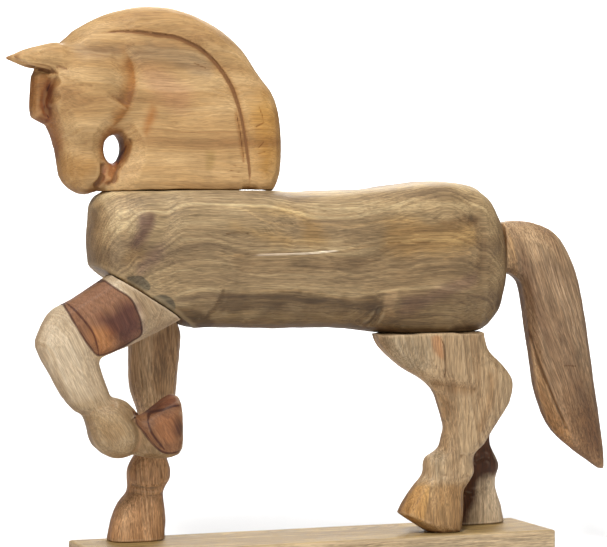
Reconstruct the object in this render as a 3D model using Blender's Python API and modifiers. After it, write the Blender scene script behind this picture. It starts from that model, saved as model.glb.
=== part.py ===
"""A carved wooden horse on a plank, assembled from separate solid blocks.

The horse faces -X, its tail points to +X, its left side faces -Y and +Z is up.
The origin is the centre of the plank's underside.
"""
import math

import bpy
import bmesh
from mathutils import Matrix, Vector
from mathutils.geometry import delaunay_2d_cdt

MM = 0.001

# Driving dimensions in millimetres
FIGURE_HEIGHT = 498.0      # hoof soles to the crest of the mane
PLANK_LENGTH = 460.0
PLANK_WIDTH = 97.0
PLANK_THICKNESS = 30.0
PLANK_EDGE = 1.2           # broken edge of the plank
JOINT_GAP = 0.3            # clearance between two blocks

# The figure's pose, outlines and carving are shares of its height: one unit is
# a 498th of it. Heights are taken from the plank's top, unless a comment says so.
UNIT = FIGURE_HEIGHT / 498.0
LEFT_Y = -22.0             # middle plane of the two left legs
RIGHT_Y = 26.0             # middle plane of the two right legs

# Flat sawn joints, in units
NECK_SEAT_Z = 327.6        # the neck stands on the back here
NECK_SEAT_END = -8.0       # the seat runs forward of this x
HIND_SEAT_Z = 192.4        # the hind legs meet the belly here
HIND_SEAT_START = 48.0     # the seat runs back from this x
RUMP_SEAT_X = 192.6        # the tail meets the rump here
SHOULDER_X = -210.0        # upper end of the sloping shoulder saw cut
SHOULDER_RISE = 59.4       # its height there above the hind seat
SHOULDER_SLOPE = -0.626    # rise of the cut along x
CUTTER_REACH = 150.0       # a saw cutter reaches this far past its cut
GAP = JOINT_GAP / UNIT
SOLE_Z = GAP                         # the hooves stand on the plank
THIGH_TOP_Z = HIND_SEAT_Z - GAP
TAIL_START_X = RUMP_SEAT_X + GAP

RING_SIDES = 12            # corners of a limb's cross-section
BODY_SIDES = 32
EAR_SIDES = 10


def shoulder_z(x):
    """Height of the sloping shoulder saw cut at x."""
    return HIND_SEAT_Z + SHOULDER_RISE + SHOULDER_SLOPE * (x - SHOULDER_X)


# Each row is one cross-section seen from the side: front edge x and z, back
# edge x and z, half the width in Y, and how square the section is (2 = ellipse).
RAISED_FORELEG = (
    (-210.0, shoulder_z(-210.0), -143.0, shoulder_z(-143.0), 20.0, 3.0),    # sawn top
    (-230.0, 239.3, -163.5, 198.2, 20.0, 2.6),   # upper arm
    (-246.7, 229.1, -191.9, 185.3, 19.5, 2.4),
    (-261.0, 220.4, -209.9, 178.3, 19.0, 2.3),
    (-273.3, 206.9, -217.6, 174.8, 18.5, 2.2),   # knee
    (-280.0, 191.7, -219.6, 171.6, 18.0, 2.2),
    (-277.4, 181.7, -219.7, 168.0, 17.5, 2.2),
    (-267.3, 161.2, -216.4, 157.7, 16.5, 2.2),   # cannon
    (-256.0, 141.2, -211.4, 145.6, 16.0, 2.2),
    (-244.7, 127.8, -209.0, 140.3, 16.0, 2.2),
    (-233.6, 116.5, -204.5, 139.0, 17.5, 2.2),   # fetlock ball
    (-228.6, 103.1, -198.6, 137.1, 19.5, 2.1),
    (-216.9, 86.9, -193.1, 134.3, 20.0, 2.1),
    (-202.2, 82.1, -190.2, 131.1, 19.0, 2.1),
    (-188.5, 85.6, -187.0, 127.4, 17.0, 2.2),    # pastern crease
    (-181.2, 83.5, -181.6, 121.9, 17.0, 2.4),
    (-169.6, 81.3, -171.5, 127.0, 19.0, 2.6),    # hoof wall
    (-156.7, 81.2, -158.8, 136.0, 20.0, 2.9),
    (-147.4, 84.0, -149.2, 140.2, 19.5, 3.2),
    (-144.4, 87.0, -145.9, 137.0, 18.2, 3.2),    # sole
)
STANDING_FORELEG = (
    (-177.8, shoulder_z(-177.8), -131.5, shoulder_z(-131.5), 19.0, 3.0),    # sawn top
    (-177.3, 203.0, -127.2, 192.0, 19.0, 2.6),
    (-177.1, 180.8, -128.2, 178.0, 19.0, 2.4),
    (-177.3, 152.3, -130.7, 151.0, 18.5, 2.3),
    (-175.2, 138.7, -132.0, 137.5, 18.0, 2.3),
    (-171.3, 127.7, -134.7, 127.4, 17.5, 2.2),   # knee narrows
    (-167.9, 114.4, -138.7, 113.5, 15.5, 2.2),   # cannon
    (-167.9, 98.4, -141.7, 97.5, 15.0, 2.2),
    (-168.9, 86.2, -142.8, 85.3, 15.5, 2.2),
    (-173.8, 77.0, -140.3, 74.8, 17.0, 2.2),     # fetlock
    (-178.3, 68.7, -137.8, 66.2, 18.0, 2.2),
    (-179.3, 60.3, -138.3, 57.7, 17.8, 2.3),
    (-178.7, 50.9, -143.2, 48.9, 16.5, 2.3),     # pastern crease
    (-180.2, 44.2, -145.2, 42.0, 16.2, 2.4),
    (-187.4, 35.8, -144.1, 33.9, 17.2, 2.5),     # hoof wall
    (-194.4, 20.2, -142.6, 18.8, 18.5, 2.6),
    (-198.3, SOLE_Z, -143.9, SOLE_Z, 19.5, 2.7),   # sole
)
NEAR_HIND_LEG = (
    (50.2, THIGH_TOP_Z, 163.4, THIGH_TOP_Z, 20.0, 3.2),    # sawn top
    (51.9, 184.8, 165.8, 182.4, 20.5, 2.8),      # thigh
    (60.8, 173.2, 170.5, 172.6, 20.5, 2.5),
    (78.3, 159.0, 183.4, 160.7, 20.0, 2.4),
    (96.9, 148.5, 193.0, 149.7, 19.0, 2.3),      # hock
    (109.5, 138.0, 196.2, 139.0, 18.0, 2.2),
    (115.8, 123.9, 192.0, 122.6, 17.0, 2.2),
    (120.5, 108.8, 181.3, 106.9, 16.0, 2.2),
    (122.8, 100.5, 172.8, 94.6, 15.2, 2.2),      # cannon
    (120.7, 90.9, 164.2, 82.3, 15.5, 2.2),
    (117.3, 80.4, 155.0, 74.2, 16.0, 2.2),
    (105.8, 71.7, 152.7, 64.8, 17.0, 2.2),       # fetlock
    (103.4, 59.9, 153.6, 56.0, 17.5, 2.3),
    (98.4, 51.9, 148.3, 47.0, 16.5, 2.3),        # pastern crease
    (89.8, 41.8, 142.9, 39.6, 16.5, 2.4),
    (82.2, 31.0, 142.1, 28.4, 18.0, 2.6),        # hoof wall
    (77.4, 21.6, 141.2, 14.0, 19.0, 2.8),
    (78.4, 18.4, 140.6, 6.0, 18.8, 2.8),         # rim of the hoof, toe raised
    (93.0, 9.0, 140.2, 2.0, 17.6, 2.7),
    (107.0, SOLE_Z, 139.2, SOLE_Z, 14.5, 2.6),   # the part that stands
)
FAR_HIND_LEG = (
    (78.0, THIGH_TOP_Z, 165.0, THIGH_TOP_Z, 19.0, 3.2),    # sawn top
    (82.3, 181.4, 170.0, 180.5, 19.0, 2.8),
    (97.0, 167.5, 181.3, 167.5, 19.0, 2.5),      # thigh
    (120.4, 154.2, 191.1, 154.3, 18.5, 2.4),
    (139.8, 139.9, 198.9, 140.2, 18.0, 2.2),     # hock
    (150.5, 122.0, 201.0, 125.3, 17.0, 2.2),
    (157.1, 107.0, 199.7, 110.5, 16.0, 2.2),
    (161.4, 94.0, 194.2, 92.9, 15.0, 2.2),       # cannon
    (161.5, 82.1, 193.0, 79.1, 15.0, 2.2),
    (159.3, 72.3, 196.4, 70.0, 16.0, 2.2),
    (154.9, 60.6, 202.6, 56.9, 17.0, 2.2),       # fetlock
    (157.2, 48.7, 199.8, 46.4, 16.0, 2.3),       # pastern crease
    (155.0, 36.0, 198.5, 35.1, 16.5, 2.4),
    (149.6, 19.4, 204.4, 18.0, 18.0, 2.6),       # hoof wall
    (144.2, SOLE_Z, 207.6, SOLE_Z, 18.8, 2.8),   # sole
)
TAIL = (
    (TAIL_START_X, 248.0, TAIL_START_X, 296.5, 17.0, 2.6),    # sawn end on the rump
    (204.0, 244.8, 204.0, 299.5, 18.5, 2.5),
    (212.2, 237.1, 225.0, 297.4, 20.0, 2.4),
    (214.8, 227.3, 244.5, 290.0, 20.5, 2.4),
    (216.7, 217.5, 257.0, 279.6, 20.5, 2.4),
    (219.2, 200.5, 266.4, 262.9, 20.5, 2.4),
    (221.8, 184.0, 275.7, 239.9, 20.5, 2.4),
    (225.3, 161.3, 283.6, 202.2, 20.0, 2.4),
    (229.9, 134.5, 290.2, 162.7, 19.0, 2.4),
    (237.7, 108.5, 296.8, 123.3, 17.0, 2.3),
    (248.6, 91.2, 302.0, 97.0, 14.0, 2.2),
    (263.1, 78.3, 305.0, 77.3, 11.0, 2.2),
    (282.1, 63.9, 306.4, 63.0, 7.0, 2.1),
    (300.5, 51.9, 306.8, 51.5, 2.6, 2.0),        # tip
)

# The body is a log: rows of x, underside above the hind seat, top above the neck
# seat, half width, squareness
BODY = (
    (-196.0, 27.6, 3.0, 37.5, 2.7),
    (-178.0, 14.1, 3.8, 44.5, 2.8),
    (-150.0, 7.6, 4.0, 47.5, 3.0),
    (-110.0, 7.2, 3.8, 48.0, 3.0),
    (-62.0, 6.0, 3.0, 47.5, 2.9),
    (-36.0, 5.4, -0.2, 47.0, 2.8),
    (10.0, 4.8, 0.0, 47.0, 2.8),
    (43.0, 1.1, 1.7, 47.5, 3.0),
    (74.0, -3.4, 4.8, 48.5, 3.4),
    (98.0, -4.9, 7.8, 48.5, 3.5),
    (122.0, -6.4, 9.0, 48.0, 3.4),
    (145.0, -6.4, 7.2, 45.5, 2.8),
)
CHEST_REACH = 27.0         # how far the rounded chest runs in front of the first row
RUMP_REACH = 49.4          # how far the rounded rump runs behind the last row
CHEST_LEVEL = 0.67         # where its middle lies, from the hind seat up to the neck seat
RUMP_LEVEL = 0.426
END_RINGS = 5

# Head and neck: outline of the block, seen from its left side. All heights of the
# head, its hole, grooves and ears are taken from the neck seat.
HEAD_OUTLINE = (
    (-40.6, 9.1), (-37.4, 26.1), (-36.9, 49.8), (-39.9, 75.1), (-47.2, 93.1),
    (-60.9, 110.0), (-77.8, 133.6), (-99.8, 151.8), (-122.8, 163.2), (-144.5, 168.8),
    (-166.1, 170.4), (-184.5, 168.2), (-203.3, 163.0), (-221.1, 155.5), (-239.4, 145.1),
    (-252.0, 134.4), (-263.0, 124.4), (-272.0, 115.4), (-276.9, 106.4), (-278.2, 92.7),
    (-279.2, 75.0), (-277.6, 66.4), (-272.0, 62.8), (-266.0, 62.4), (-261.4, 54.2),
    (-256.2, 40.2), (-253.6, 25.1), (-251.4, 13.4), (-247.0, 6.0), (-239.4, 0.4),
    (-229.6, -3.6), (-220.5, -1.9), (-213.5, 1.2),
)
HEAD_FOOT = ((-208.0, -10.6), (-120.0, -12.6), (-57.0, -8.6))    # below the saw cut
NECK_FRONT_X = -217.0      # the saw cut under the neck starts here
CHIN_HOLE = (-201.3, 38.4, 9.0, 13.4)      # centre x, height and half sizes
EDGE_ROUNDING = 21.0       # depth over which the block's edge rounds over
HOLE_ROUNDING = 13.0
SURFACE_STEP = 8.0         # spacing of the carved surface's points
RIM_ROWS = (1.6, 5.0, 11.0)                # rows of points inside the outline
HOLE_ROWS = (1.2, 4.0)     # rows of points around the hole
HOLE_SIDES = 14
GRID_MARGIN = 14.0         # the grid of points stays this far from the rims
NECK_HALF = 26.0           # half thickness of the neck
FACE_HALF = 22.5
THROAT_X = (-200.0, -182.0)                # the neck thins into the head over this span
CREST_HALF = 22.0          # half thickness of the mane over the poll
CREST_SPAN = (134.4, 158.4)                # heights over which the mane thins
CREST_X = (-120.0, -40.0)
CHEEK = (-226.0, 86.4, 41.0, 40.0, 8.0)    # centre x, height, radii and swell of the cheek
MUZZLE_HALF = 21.5
MUZZLE_SPAN = (17.4, 64.4)                 # heights over which the face thins to the muzzle
FORELOCK_HALF = 10.5
FORELOCK_BACK = -262.0     # the forelock's plate lies in front of this x
FORELOCK_SPAN = (58.4, 112.4)
MANE_GROOVE = (
    (-214.7, 144.0), (-199.2, 145.5), (-181.2, 145.6), (-159.2, 142.9), (-140.0, 140.1),
    (-126.5, 134.3), (-115.2, 125.1), (-102.8, 113.6), (-92.9, 100.8), (-85.3, 86.7),
    (-80.3, 70.3), (-76.6, 52.5), (-73.9, 29.0), (-72.9, -1.6),
)
CHEEK_CREASE = (
    (-192.7, 120.4), (-188.6, 100.8), (-189.8, 87.2), (-196.5, 71.4), (-204.0, 60.4),
)
GROOVE_HALF_WIDTH = 3.4
GROOVE_DEPTH = 3.6
EAR_Y = 14.5               # middle plane of each ear
EAR = (
    (-243.0, 102.4, -243.0, 132.4, 11.5, 2.2),   # root, inside the head
    (-257.0, 106.9, -255.5, 134.8, 11.0, 2.2),
    (-269.0, 111.4, -267.0, 133.0, 9.0, 2.1),
    (-281.0, 115.4, -279.5, 129.2, 6.5, 2.0),
    (-290.0, 118.6, -289.0, 124.0, 3.2, 2.0),
    (-294.2, 120.6, -293.8, 122.0, 1.0, 2.0),
)

COLOURS = {
    "base_plank": (0.52, 0.39, 0.24),
    "body": (0.27, 0.20, 0.14),
    "head_and_neck": (0.48, 0.30, 0.14),
    "raised_foreleg": (0.50, 0.37, 0.22),
    "standing_foreleg": (0.36, 0.24, 0.14),
    "near_hind_leg": (0.43, 0.29, 0.17),
    "far_hind_leg": (0.38, 0.26, 0.16),
    "tail": (0.33, 0.19, 0.11),
}


def clear_scene():
    for item in list(bpy.data.objects):
        bpy.data.objects.remove(item, do_unlink=True)


def collection(name):
    group = bpy.data.collections.new(name)
    bpy.context.scene.collection.children.link(group)
    return group


def wood(name):
    """The wood of one block."""
    material = bpy.data.materials.new(name + " wood")
    material.use_nodes = True
    shader = material.node_tree.nodes["Principled BSDF"]
    shader.inputs["Base Color"].default_value = (*COLOURS[name], 1.0)
    shader.inputs["Roughness"].default_value = 0.62
    shader.inputs["Metallic"].default_value = 0.0
    return material


def place(x, y, z):
    """A point of the figure, from units to metres, on top of the plank."""
    return Vector((x * UNIT, y * UNIT, z * UNIT + PLANK_THICKNESS)) * MM


def finish(name, mesh_builder, group, material=None):
    """An object from a bmesh, with its faces pointing out and shaded smooth."""
    bmesh.ops.recalc_face_normals(mesh_builder, faces=mesh_builder.faces)
    mesh = bpy.data.meshes.new(name)
    mesh_builder.to_mesh(mesh)
    mesh_builder.free()
    mesh.shade_smooth()
    mesh.set_sharp_from_angle(angle=math.radians(50))
    if material:
        mesh.materials.append(material)
    item = bpy.data.objects.new(name, mesh)
    group.objects.link(item)
    return item


def between(a, b, c, d, t):
    """Catmull-Rom value between b and c."""
    return 0.5 * (2 * b + (c - a) * t + (2 * a - 5 * b + 4 * c - d) * t ** 2
                  + (3 * b - a - 3 * c + d) * t ** 3)


def smooth_rows(rows, steps):
    """The rows of a table with steps - 1 smooth rows put in between each two."""
    result = []
    for i in range(len(rows) - 1):
        near = [rows[max(i - 1, 0)], rows[i], rows[i + 1], rows[min(i + 2, len(rows) - 1)]]
        for k in range(steps):
            result.append([between(*values, k / steps) for values in zip(*near)])
    result.append(list(rows[-1]))
    return result


def signed_power(value, power):
    return math.copysign(abs(value) ** power, value)


def ring_points(front, back, half, squareness, middle_y, sides):
    """A superellipse between a front and a back edge point, half wide in Y."""
    points = []
    for k in range(sides):
        angle = 2 * math.pi * (k + 0.5) / sides
        along = signed_power(math.cos(angle), 2 / squareness)
        across = signed_power(math.sin(angle), 2 / squareness)
        x = (front[0] + back[0]) / 2 + along * (back[0] - front[0]) / 2
        z = (front[1] + back[1]) / 2 + along * (back[1] - front[1]) / 2
        points.append(place(x, middle_y + across * half, z))
    return points


def skin(rings):
    """A closed surface through rings that have as many points each."""
    form = bmesh.new()
    loops = [[form.verts.new(point) for point in ring] for ring in rings]
    sides = len(loops[0])
    for low, high in zip(loops, loops[1:]):
        for k in range(sides):
            form.faces.new((low[k], low[(k + 1) % sides], high[(k + 1) % sides], high[k]))
    form.faces.new(loops[0][::-1])
    form.faces.new(loops[-1])
    return form


def limb(name, rows, middle_y, group, material, sides=RING_SIDES):
    """One leg, tail or ear: cross-sections joined into a solid."""
    rings = []
    for front_x, front_z, back_x, back_z, half, squareness in smooth_rows(rows, 2):
        rings.append(ring_points((front_x, front_z), (back_x, back_z), half, squareness,
                                 middle_y, sides))
    return finish(name, skin(rings), group, material)


def plank(group):
    """The plank, a sawn board with broken edges."""
    form = bmesh.new()
    bmesh.ops.create_cube(form, size=1.0)
    size = Vector((PLANK_LENGTH, PLANK_WIDTH, PLANK_THICKNESS)) * MM
    bmesh.ops.scale(form, vec=size, verts=form.verts)
    bmesh.ops.translate(form, vec=(0, 0, size.z / 2), verts=form.verts)
    item = finish("base_plank", form, group, wood("base_plank"))
    bevel = item.modifiers.new("broken edges", "BEVEL")
    bevel.width = PLANK_EDGE * MM
    bevel.segments = 2
    return item


def block_cutter(name, low, high, group):
    """A box cutter between two corners given in units."""
    form = bmesh.new()
    bmesh.ops.create_cube(form, size=1.0)
    a, b = place(*low), place(*high)
    bmesh.ops.scale(form, vec=b - a, verts=form.verts)
    bmesh.ops.translate(form, vec=(a + b) / 2, verts=form.verts)
    item = finish(name, form, group)
    item.hide_render = True
    item.display_type = "WIRE"
    return item


def cut(item, cutter, operation="DIFFERENCE"):
    boolean = item.modifiers.new(cutter.name, "BOOLEAN")
    boolean.operation = operation
    boolean.object = cutter


def shoulder_cutter(group):
    """A wedge of air below the sloping shoulder cut, under the chest."""
    slope = math.atan(SHOULDER_SLOPE)
    cutter = block_cutter("shoulder saw cut", (-CUTTER_REACH, -CUTTER_REACH, -CUTTER_REACH),
                          (CUTTER_REACH, CUTTER_REACH, 0.0), group)
    gap = GAP / math.cos(slope)
    cutter.data.transform(Matrix.Translation(-place(0, 0, 0)))
    cutter.data.transform(Matrix.Rotation(-slope, 4, "Y"))
    corner = place(SHOULDER_X, 0, shoulder_z(SHOULDER_X) + gap)
    cutter.data.transform(Matrix.Translation(corner))
    return cutter


def body_rings():
    """Cross-sections of the log, with its two ends rounded off."""
    rows = []
    for x, low, high, half, squareness in smooth_rows(BODY, 2):
        rows.append((x, HIND_SEAT_Z + low, NECK_SEAT_Z + high, half, squareness))
    rings = []

    def end_rows(row, reach, direction, level):
        centre_z = HIND_SEAT_Z + level * (NECK_SEAT_Z - HIND_SEAT_Z)
        for k in range(1, END_RINGS + 1):
            angle = 0.5 * math.pi * k / (END_RINGS + 0.35)
            shrink = math.cos(angle) ** 0.86
            x = row[0] + direction * reach * math.sin(angle)
            low = centre_z + (row[1] - centre_z) * shrink
            high = centre_z + (row[2] - centre_z) * shrink
            yield (x, low, high, row[3] * shrink, row[4] - 0.8 * (1 - shrink))

    front = list(end_rows(rows[0], CHEST_REACH, -1, CHEST_LEVEL))[::-1]
    rear = list(end_rows(rows[-1], RUMP_REACH, 1, RUMP_LEVEL))
    for x, low, high, half, squareness in front + rows + rear:
        rings.append(ring_points((x, low), (x, high), half, squareness, 0.0, BODY_SIDES))
    return rings


def body(group, cutters):
    """The body, with its flat seats for the neck, the legs and the tail."""
    item = finish("body", skin(body_rings()), group, wood("body"))
    far = CUTTER_REACH
    seats = (
        ("neck seat", NECK_SEAT_END - 2 * far, NECK_SEAT_END, NECK_SEAT_Z - GAP, NECK_SEAT_Z + far),
        ("hind seat", HIND_SEAT_START, HIND_SEAT_START + 2 * far, HIND_SEAT_Z - far, HIND_SEAT_Z),
        ("rump seat", RUMP_SEAT_X, RUMP_SEAT_X + far, HIND_SEAT_Z - far, NECK_SEAT_Z + far),
    )
    for label, start, end, low, high in seats:
        cut(item, block_cutter(label, (start, -far, low), (end, far, high), cutters))
    cut(item, shoulder_cutter(cutters))
    return item


def closed_curve(points, spacing):
    """Evenly spaced points along a smooth closed line through the given ones."""
    fine = []
    count = len(points)
    for i in range(count):
        near = [points[(i + k) % count] for k in (-1, 0, 1, 2)]
        for k in range(8):
            fine.append(Vector([between(*values, k / 8) for values in zip(*near)]))
    return even(fine + [fine[0]], spacing)[:-1]


def open_curve(points, spacing):
    fine = [Vector(row) for row in smooth_rows(points, 8)]
    return even(fine, spacing)


def even(line, spacing):
    """Points about a spacing apart along a line of many points."""
    lengths = [0.0]
    for a, b in zip(line, line[1:]):
        lengths.append(lengths[-1] + (b - a).length)
    count = max(2, round(lengths[-1] / spacing))
    result = []
    k = 0
    for i in range(count + 1):
        goal = lengths[-1] * i / count
        while k < len(line) - 2 and lengths[k + 1] < goal:
            k += 1
        share = (goal - lengths[k]) / max(lengths[k + 1] - lengths[k], 1e-9)
        result.append(line[k].lerp(line[k + 1], share))
    return result


def distance_to_line(point, line, closed):
    """Shortest distance from a point to a line of points."""
    best = 1e9
    count = len(line)
    for i in range(count if closed else count - 1):
        a, b = line[i], line[(i + 1) % count]
        along = b - a
        share = min(1.0, max(0.0, (point - a).dot(along) / max(along.length_squared, 1e-9)))
        best = min(best, (point - a - along * share).length)
    return best


def inside(point, line):
    """Whether a point lies inside a closed line."""
    result = False
    for i in range(len(line)):
        a, b = line[i], line[i - 1]
        if (a.y > point.y) != (b.y > point.y):
            if point.x < (b.x - a.x) * (point.y - a.y) / (b.y - a.y) + a.x:
                result = not result
    return result


def step(value, low, high):
    """0 below low, 1 above high, and a smooth rise between."""
    share = min(1.0, max(0.0, (value - low) / (high - low)))
    return share * share * (3 - 2 * share)


def dome(x, z, centre_x, centre_z, radius_x, radius_z):
    """1 in the middle of an oval, falling roundly to 0 at its rim."""
    r = math.hypot((x - centre_x) / radius_x, (z - centre_z) / radius_z)
    return math.sqrt(max(0.0, 1 - r * r)) if r < 1 else 0.0


class HeadForm:
    """Half thickness of the head and neck block at each point of its side view."""

    def __init__(self):
        self.outline = closed_curve(HEAD_OUTLINE + HEAD_FOOT, SURFACE_STEP)
        x, z, rx, rz = CHIN_HOLE
        turns = [2 * math.pi * k / HOLE_SIDES for k in range(HOLE_SIDES)]
        self.hole = [Vector((x + rx * math.cos(turn), z + rz * math.sin(turn))) for turn in turns]
        self.mane = open_curve(MANE_GROOVE, SURFACE_STEP * 0.8)
        self.crease = open_curve(CHEEK_CREASE, SURFACE_STEP * 0.8)

    def flat_half(self, point):
        """Half thickness before the block's edges are rounded."""
        x, z = point
        head = 1 - step(x, *THROAT_X)
        muzzle = 1 - step(z, *MUZZLE_SPAN)
        half = NECK_HALF + head * (FACE_HALF - NECK_HALF)
        half += head * muzzle * (MUZZLE_HALF - FACE_HALF)
        cx, cz, rx, rz, swell = CHEEK
        half += swell * dome(x, z, cx, cz, rx, rz)
        half += (CREST_HALF - NECK_HALF) * step(z, *CREST_SPAN) * (1 - step(x, *CREST_X))
        plate = step(-x, -FORELOCK_BACK - 1.0, -FORELOCK_BACK + 3.5)
        low, high = FORELOCK_SPAN
        plate *= step(z, low, low + 3.0) * (1 - step(z, high, high + 6.0))
        half += plate * (FORELOCK_HALF - half)
        return half

    def half(self, point):
        """Half thickness of the finished carving."""
        edge = distance_to_line(point, self.outline, True)
        rim = distance_to_line(point, self.hole, True)
        value = self.flat_half(point)
        for distance, rounding in ((edge, EDGE_ROUNDING), (rim, HOLE_ROUNDING)):
            share = min(1.0, distance / min(rounding, value))
            value *= math.sqrt(max(0.0, 1 - (1 - share) ** 2))
        for line in (self.mane, self.crease):
            away = distance_to_line(point, line, False)
            value -= GROOVE_DEPTH * (1 - step(away, 0.0, GROOVE_HALF_WIDTH))
        return max(value, 0.6)

    def inset(self, line, distance, inward):
        """A closed line moved inward, without the points that come too near it."""
        result = []
        count = len(line)
        for i in range(count):
            along = (line[(i + 1) % count] - line[i - 1]).normalized()
            point = line[i] + Vector((-along.y, along.x)) * distance * inward
            if self.clearance(point) > 0.86 * distance and self.is_wood(point):
                result.append(point)
        return result

    def is_wood(self, point):
        return inside(point, self.outline) and not inside(point, self.hole)

    def clearance(self, point):
        return min(distance_to_line(point, self.outline, True),
                   distance_to_line(point, self.hole, True))

    def points(self):
        """Points of the side view: rims, inset rows, both sides of each groove, a grid."""
        area = sum(a.x * b.y - b.x * a.y for a, b in zip(self.outline, self.outline[1:]))
        turn = 1 if area > 0 else -1
        kept = []
        for distance in RIM_ROWS:
            kept += self.inset(self.outline, distance, turn)
        for distance in HOLE_ROWS:
            kept += self.inset(self.hole, distance, -1)
        for line in (self.mane, self.crease):
            for i in range(len(line)):
                along = (line[min(i + 1, len(line) - 1)] - line[max(i - 1, 0)]).normalized()
                side = Vector((-along.y, along.x)) * GROOVE_HALF_WIDTH
                for shift in (-1, 0, 1):
                    point = line[i] + side * shift
                    if self.is_wood(point) and self.clearance(point) > 2.5:
                        if all((point - other).length > 2.2 for other in kept):
                            kept.append(point)
        xs = [point.x for point in self.outline]
        zs = [point.y for point in self.outline]
        row = 0
        z = min(zs)
        while z < max(zs):
            x = min(xs) + (SURFACE_STEP / 2 if row % 2 else 0.0)
            while x < max(xs):
                point = Vector((x, z))
                if self.is_wood(point) and self.clearance(point) > GRID_MARGIN:
                    if all((point - other).length > 0.62 * SURFACE_STEP for other in kept):
                        kept.append(point)
                x += SURFACE_STEP
            z += SURFACE_STEP * 0.87
            row += 1
        return kept

    def build(self):
        """The closed block, its two sides carved alike."""
        rims = self.outline + self.hole
        flat = rims + self.points()
        loops = []
        start = 0
        for line in (self.outline, self.hole):
            count = len(line)
            loops += [(start + i, start + (i + 1) % count) for i in range(count)]
            start += count
        triangles = delaunay_2d_cdt(flat, loops, [], 0, 1e-5)[2]
        form = bmesh.new()
        rim_count = len(rims)
        near = []
        far = []
        for i, point in enumerate(flat):
            on_rim = i < rim_count
            half = 0.0 if on_rim else self.half(point)
            z = NECK_SEAT_Z + point.y
            near.append(form.verts.new(place(point.x, -half, z)))
            far.append(near[-1] if on_rim else form.verts.new(place(point.x, half, z)))
        for corners in triangles:
            middle = sum((flat[c] for c in corners), Vector((0, 0))) / 3
            if self.is_wood(middle):
                if all(c < rim_count for c in corners):
                    continue
                form.faces.new([near[c] for c in corners])
                form.faces.new([far[c] for c in reversed(corners)])
        return form


def head_and_neck(group, cutters):
    """The head and neck block with its two ears, sawn flat below the neck."""
    item = finish("head_and_neck", HeadForm().build(), group, wood("head_and_neck"))
    rows = []
    for front_x, front_z, back_x, back_z, half, squareness in EAR:
        rows.append((front_x, NECK_SEAT_Z + front_z, back_x, NECK_SEAT_Z + back_z, half, squareness))
    for side, label in ((-1, "left ear"), (1, "right ear")):
        ear = limb(label, rows, side * EAR_Y, cutters, None, EAR_SIDES)
        ear.hide_render = True
        ear.display_type = "WIRE"
        cut(item, ear, "UNION")
    low = (NECK_FRONT_X, -CUTTER_REACH, NECK_SEAT_Z - CUTTER_REACH)
    high = (NECK_FRONT_X + 2 * CUTTER_REACH, CUTTER_REACH, NECK_SEAT_Z)
    cut(item, block_cutter("neck saw cut", low, high, cutters))
    return item


def main():
    clear_scene()
    parts = collection("wooden_horse")
    cutters = collection("cutters")
    plank(parts)
    body(parts, cutters)
    head_and_neck(parts, cutters)
    for name, rows, middle_y in (
        ("raised_foreleg", RAISED_FORELEG, LEFT_Y),
        ("standing_foreleg", STANDING_FORELEG, RIGHT_Y),
        ("near_hind_leg", NEAR_HIND_LEG, LEFT_Y),
        ("far_hind_leg", FAR_HIND_LEG, RIGHT_Y),
        ("tail", TAIL, 0.0),
    ):
        limb(name, rows, middle_y, parts, wood(name))


main()
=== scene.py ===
"""The looks of a carved wooden horse: finely carved surfaces and raw, lightly waxed wood.

Every block's surface starts from its solid, is made fine and smooth, and is then
carved: grooves, creases, cracks, chips and the unevenness of hand work.
"""
import math

import bpy
import numpy as np
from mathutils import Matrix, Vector


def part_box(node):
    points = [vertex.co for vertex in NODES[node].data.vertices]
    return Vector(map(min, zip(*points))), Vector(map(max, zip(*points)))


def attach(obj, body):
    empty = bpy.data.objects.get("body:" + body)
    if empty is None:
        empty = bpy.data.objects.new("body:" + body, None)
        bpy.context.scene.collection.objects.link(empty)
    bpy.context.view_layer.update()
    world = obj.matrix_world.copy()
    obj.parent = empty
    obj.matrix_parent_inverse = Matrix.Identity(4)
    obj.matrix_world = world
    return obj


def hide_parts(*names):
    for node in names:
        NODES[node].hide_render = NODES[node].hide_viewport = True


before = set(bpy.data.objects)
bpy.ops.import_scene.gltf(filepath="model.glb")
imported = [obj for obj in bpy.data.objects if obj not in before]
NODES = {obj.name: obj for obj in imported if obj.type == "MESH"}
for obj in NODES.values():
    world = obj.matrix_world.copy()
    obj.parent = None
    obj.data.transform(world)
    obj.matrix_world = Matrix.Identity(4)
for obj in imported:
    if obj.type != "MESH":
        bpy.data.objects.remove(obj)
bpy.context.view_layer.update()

PLANK_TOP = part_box("base_plank")[1][2]
MM = 0.001

# The camera of the photograph, fitted to the plank's edges
CAMERA_PLACE = (-0.8586, -2.2385, 0.32885 + PLANK_TOP)
CAMERA_YAW = 20.71         # degrees to the right of +Y
CAMERA_PITCH = 1.91        # degrees downwards
IMAGE_WIDTH = 607
FOCAL_PIXELS = 2525.6
SENSOR_WIDTH = 36.0

# The side view's places are millimetres along the plank and above its top
HOLE = (-201.3, 366.0)     # middle of the hole behind the jaw

# Two places on each flat sawn face
SHOULDER_CUT = ((-210, 251.8), (-143, 209.9))
HIND_CUT = ((50, 192.1), (163, 192.1))
RUMP_CUT = ((192.9, 240), (192.9, 300))
SOLES = ((-200, 0.3), (200, 0.3))
RAISED_SOLE = ((-144.4, 87.0), (-145.9, 137.0))
TOE = ((77.4, 18.4), (107.0, 0.3))

LIMB_ROUNDS = 230          # rounds of smoothing on a limb
LIMB_BACK = -0.506         # its step back, near enough to -0.5 to take out wide swells
BLOCK_BACK = -0.526        # the step back on the thicker blocks
JOINT_REACH = 9.0          # millimetres over which an opened joint runs out
UNMARKED = 30.0            # a mark this many millimetres below zero is nowhere

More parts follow.
